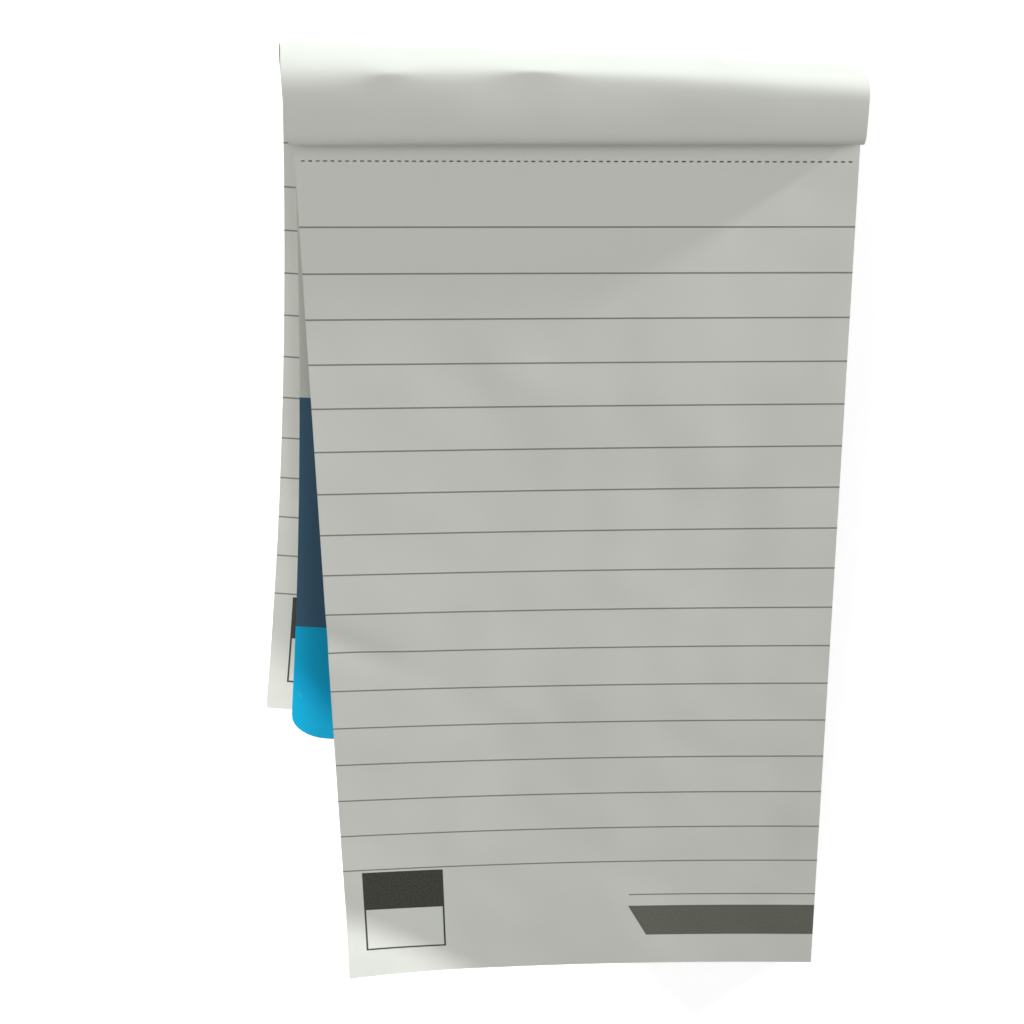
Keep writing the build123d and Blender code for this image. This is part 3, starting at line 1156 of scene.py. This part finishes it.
def hang_lamp(lamp, place, aim):
    """Hangs a lamp so that it looks at a point."""
    holder = bpy.data.objects.new(lamp.name, lamp)
    bpy.context.scene.collection.objects.link(holder)
    holder.location = place
    holder.rotation_euler = (Vector(aim) - Vector(place)).to_track_quat("-Z", "Y").to_euler()


def make_softbox(name, watts):
    """A soft rectangular lamp."""
    place, aim, size, tint = SOFTBOXES[name]
    lamp = bpy.data.lights.new(name, "AREA")
    lamp.shape = "RECTANGLE"
    lamp.size, lamp.size_y = size
    lamp.energy = watts
    lamp.color = tint
    hang_lamp(lamp, place, aim)


def make_beam(name, watts):
    """A beam whose upper edge passes through a point, with all above that edge left in the shade."""
    edge, edge_normal, from_side, distance, softness = BEAMS[name]
    lamp = bpy.data.lights.new(name, "SPOT")
    lamp.energy = watts
    lamp.spot_size = BEAM_CONE
    lamp.spot_blend = softness
    lamp.shadow_soft_size = BEAM_LAMP_RADIUS
    toward = Vector(from_side).normalized()
    place = Vector(edge) + toward * distance
    axis = -toward * math.cos(BEAM_CONE / 2) - Vector(edge_normal).normalized() * math.sin(BEAM_CONE / 2)
    hang_lamp(lamp, place, place + axis)


def make_camera(settings):
    """A camera where the photograph was taken from, placed in the pad's own frame."""
    stage = settings.stage
    pad = PadFrame(settings.pad)
    eye = Vector(pad.place(stage.eye_across, stage.eye_along, stage.eye_height))
    aim = Vector(pad.place(stage.aim_across, stage.aim_along, pad.block_top))
    back = (eye - aim).normalized()
    right = Vector((0.0, 1.0, 0.0)).cross(back).normalized()
    up = back.cross(right)
    turned = Matrix.Rotation(stage.eye_roll, 3, "Z")
    lens = bpy.data.cameras.new("camera")
    lens.lens = stage.lens
    lens.clip_start = CAMERA_NEAR
    camera = bpy.data.objects.new("camera", lens)
    bpy.context.scene.collection.objects.link(camera)
    axes = Matrix((right, up, back)).transposed()
    camera.matrix_world = Matrix.Translation(eye) @ (axes @ turned).to_4x4()
    bpy.context.scene.camera = camera


class NOTEPAD_OT_stage(bpy.types.Operator):
    """Make the floor, the light and the camera"""

    bl_idname = "notepad.stage"
    bl_label = "Stage"

    def execute(self, context):
        settings = context.scene.notepad
        context.scene.view_settings.view_transform = "Standard"
        make_floor(settings)
        make_sky(settings)
        for name in SOFTBOXES:
            make_softbox(name, getattr(settings.stage, f"{name}_power"))
        for name in BEAMS:
            make_beam(name, getattr(settings.stage, f"{name}_power"))
        make_camera(settings)
        return {"FINISHED"}


# Add-on


class NOTEPAD_PT_panel(bpy.types.Panel):
    """Sizes, colours and makers of the notepad"""

    bl_label = "Notepad"
    bl_idname = "NOTEPAD_PT_panel"
    bl_space_type = "VIEW_3D"
    bl_region_type = "UI"
    bl_category = "Notepad"

    def draw(self, context):
        settings = context.scene.notepad
        for part in ("pad", "roll", "tear", "curl", "printed", "colours", "stage"):
            group = getattr(settings, part)
            box = self.layout.box()
            box.label(text=part.capitalize())
            for name in group.bl_rna.properties.keys():
                if name not in ("rna_type", "name"):
                    box.prop(group, name)
        for maker in PIECES:
            self.layout.operator(maker.bl_idname)


GROUPS = (
    PadSizes,
    RollSizes,
    TearSizes,
    CurlSizes,
    PrintSizes,
    PadColours,
    StageSetup,
    NotepadSettings,
)
PIECES = (
    NOTEPAD_OT_leaf_stack,
    NOTEPAD_OT_top_leaves,
    NOTEPAD_OT_turned_leaves,
    NOTEPAD_OT_front_cover,
    NOTEPAD_OT_back_cover,
    NOTEPAD_OT_staples,
    NOTEPAD_OT_stage,
)
CLASSES = (*GROUPS, *PIECES, NOTEPAD_PT_panel)


def register():
    """Adds the settings, the makers and the panel."""
    for item in CLASSES:
        bpy.utils.register_class(item)
    bpy.types.Scene.notepad = bpy.props.PointerProperty(type=NotepadSettings)


def unregister():
    """Takes them away again."""
    del bpy.types.Scene.notepad
    for item in reversed(CLASSES):
        bpy.utils.unregister_class(item)


def main():
    register()
    for maker in PIECES:
        group, name = maker.bl_idname.split(".")
        getattr(getattr(bpy.ops, group), name)()


if __name__ == "__main__":
    main()
